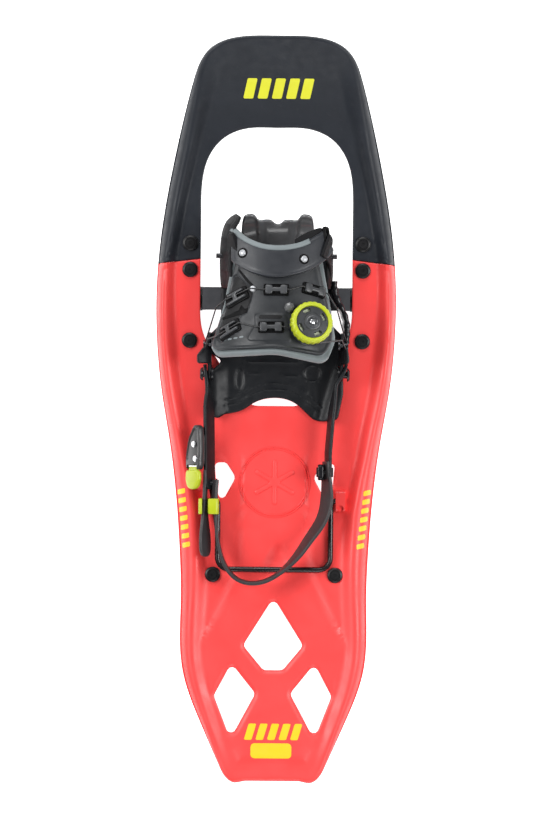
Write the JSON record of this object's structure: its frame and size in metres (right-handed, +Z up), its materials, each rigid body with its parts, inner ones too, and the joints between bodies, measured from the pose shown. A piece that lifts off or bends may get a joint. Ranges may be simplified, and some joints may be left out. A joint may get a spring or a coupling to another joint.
{
  "type": "snowshoe",
  "caption": "Snowshoe with a curved moulded deck, toothed steel rails, a pivoting boot binding with dial lace, toe strap, buckled heel strap and crampon, and a folding wire heel lift.",
  "frame": {"origin": "on the ground under the centre of the shoe, level with the tips of the steel rails' teeth", "axes": "+Y from tail to toe, +X to the wearer's right, +Z up"},
  "size_m": [0.2, 0.62, 0.1123],
  "materials": {
    "frame_black": "moulded, satin",
    "deck_coral": "moulded, satin",
    "rail_steel": "stamped steel",
    "rivet_black": "moulded caps",
    "fastener_steel": "plated steel",
    "bush_black": "nylon",
    "carrier_grey": "powder-coated steel",
    "base_black": "moulded, satin",
    "cup_grey": "moulded, semi-gloss",
    "strap_black": "flexible urethane",
    "foam_grey": "foam with a fabric face",
    "shell_grey": "moulded flexible shell",
    "guide_black": "moulded",
    "lace_steel": "coated steel wire",
    "dial_black": "moulded",
    "dial_yellow": "moulded grip ring",
    "bail_black": "coated steel wire",
    "buckle_grey": "moulded",
    "lever_yellow": "moulded"
  },
  "bodies": {
    "deck": {"toe_frame": "frame_black", "tail_deck": "deck_coral", "traction_rail_left": "rail_steel", "traction_rail_right": "rail_steel", "deck_rivets": "rivet_black", "rivet_washers": "fastener_steel", "pivot_pin_left": "fastener_steel", "pivot_pin_right": "fastener_steel", "pivot_bush_left": "bush_black", "pivot_bush_right": "bush_black", "pivot_clip_left": "fastener_steel", "pivot_clip_right": "fastener_steel", "heel_lift_clip_left": "deck_coral", "heel_lift_clip_right": "deck_coral", "heel_lift_screws": "fastener_steel"},
    "heel_lift": {"heel_lift_bail": "bail_black"},
    "binding": {"axle_carrier": "carrier_grey", "toe_crampon": "rail_steel", "base_plate": "base_black", "base_bolts": "fastener_steel", "base_nuts": "fastener_steel", "side_brace": "strap_black", "toe_cup": "cup_grey", "toe_cage_left": "base_black", "toe_cage_right": "base_black", "cage_rivets": "fastener_steel", "toe_strap": "strap_black", "toe_strap_studs": "fastener_steel", "toe_strap_end": "strap_black", "toe_buckle": "base_black", "instep_liner": "foam_grey", "instep_shell": "shell_grey", "lace_guides": "guide_black", "lace": "lace_steel", "lace_hook_left": "fastener_steel", "lace_hook_right": "fastener_steel", "dial_base": "dial_black", "dial_post": "fastener_steel", "arm_rivet_left": "fastener_steel", "arm_rivet_right": "fastener_steel"},
    "dial_core": {"dial_cap": "dial_black"},
    "dial_knob": {"dial_grip": "dial_black", "dial_ring": "dial_yellow"},
    "dial_spool": {"dial_spool": "dial_black"},
    "heel_strap": {"strap_arm_left": "base_black", "strap_arm_right": "base_black", "heel_strap": "strap_black", "strap_tail": "strap_black", "strap_keeper": "dial_yellow", "strap_anchor": "base_black", "strap_rivets": "fastener_steel", "buckle_housing": "buckle_grey", "buckle_lever_pin": "fastener_steel", "buckle_screws": "fastener_steel"},
    "buckle_lever": {"buckle_lever": "lever_yellow"}
  },
  "joints": [
    {"name": "binding_pitch", "type": "hinge", "parent": "deck", "child": "binding", "pos_m": [0, 0.093, 0.013], "axis": [-1, 0, 0], "range_deg": [0, 75]},
    {"name": "heel_strap_swing", "type": "hinge", "parent": "binding", "child": "heel_strap", "pos_m": [0, 0.03, 0.0455], "axis": [-1, 0, 0], "range_deg": [0, 90]},
    {"name": "heel_lift_flip", "type": "hinge", "parent": "deck", "child": "heel_lift", "pos_m": [0, -0.075, 0.031], "axis": [-1, 0, 0], "range_deg": [0, 90]},
    {"name": "buckle_lever_flip", "type": "hinge", "parent": "heel_strap", "child": "buckle_lever", "pos_m": [-0.06688, -0.0465, 0.04849], "axis": [-0.5812, 0, -0.8137], "range_deg": [0, 60]},
    {"name": "dial_pull", "type": "slide", "parent": "binding", "child": "dial_core", "axis": [0.2265, 0.2025, 0.9527], "range_m": [0, 0.0025]},
    {"name": "dial_spin", "type": "hinge", "parent": "dial_core", "child": "dial_knob", "pos_m": [0.02676, 0.07024, 0.09259], "axis": [0.2265, 0.2025, 0.9527], "continuous": true},
    {"name": "spool_spin", "type": "hinge", "parent": "binding", "child": "dial_spool", "pos_m": [0.02676, 0.07024, 0.09259], "axis": [0.2265, 0.2025, 0.9527], "continuous": true}
  ],
  "couplings": [
    {"joint": "heel_lift_flip", "follows": "heel_strap_swing", "ratio": 1},
    {"joint": "spool_spin", "follows": "dial_spin", "ratio": 1}
  ]
}
